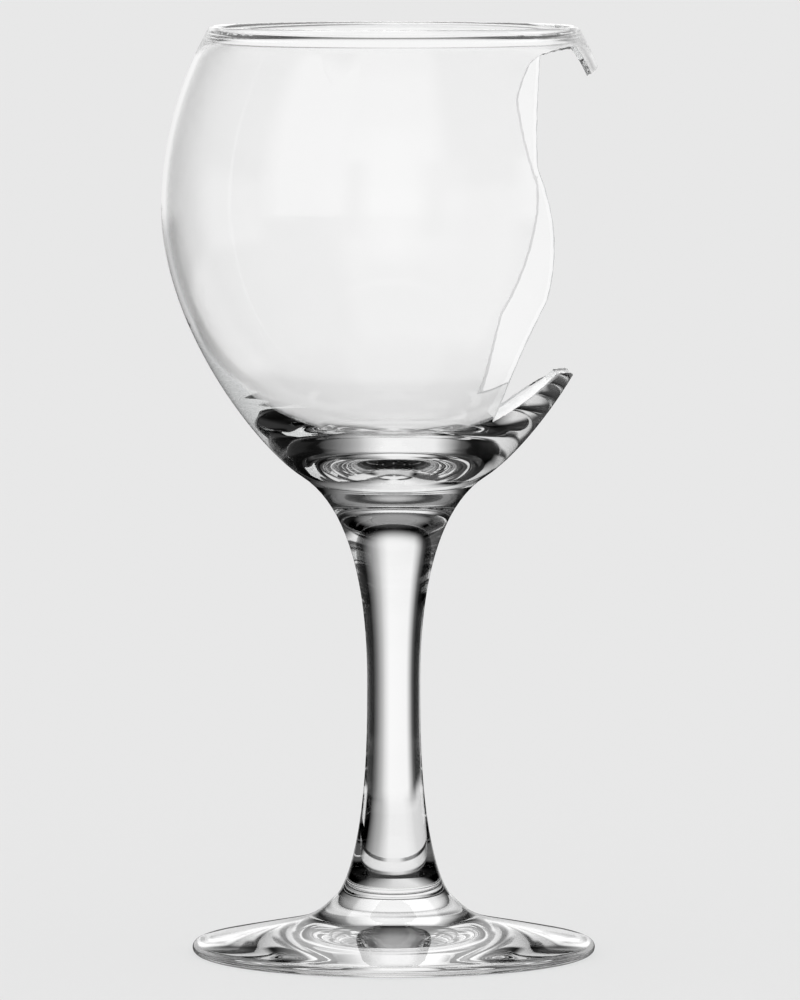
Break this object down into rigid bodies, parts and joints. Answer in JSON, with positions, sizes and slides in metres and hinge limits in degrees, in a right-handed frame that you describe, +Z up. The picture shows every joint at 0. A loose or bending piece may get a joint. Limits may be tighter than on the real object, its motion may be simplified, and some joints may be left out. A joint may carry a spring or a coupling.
{
  "type": "cracked wine glass",
  "caption": "Clear stemmed wine glass with a round bowl, a large piece broken out of one side of the bowl below the rim, and a flared stem on a flat round foot.",
  "frame": {"origin": "on the axis of the glass, level with the table it stands on; the middle of the foot's underside is dished 0.8 mm above it", "axes": "+Z up along the axis of the bowl, stem and foot; +X towards the broken side of the bowl; the picture looks along +Y"},
  "size_m": [0.0834, 0.089, 0.178],
  "materials": {
    "clear_glass": "polished clear soda-lime glass, sharp clean fracture faces round the break"
  },
  "bodies": {
    "root": {"wine_glass": "clear_glass"}
  },
  "joints": []
}
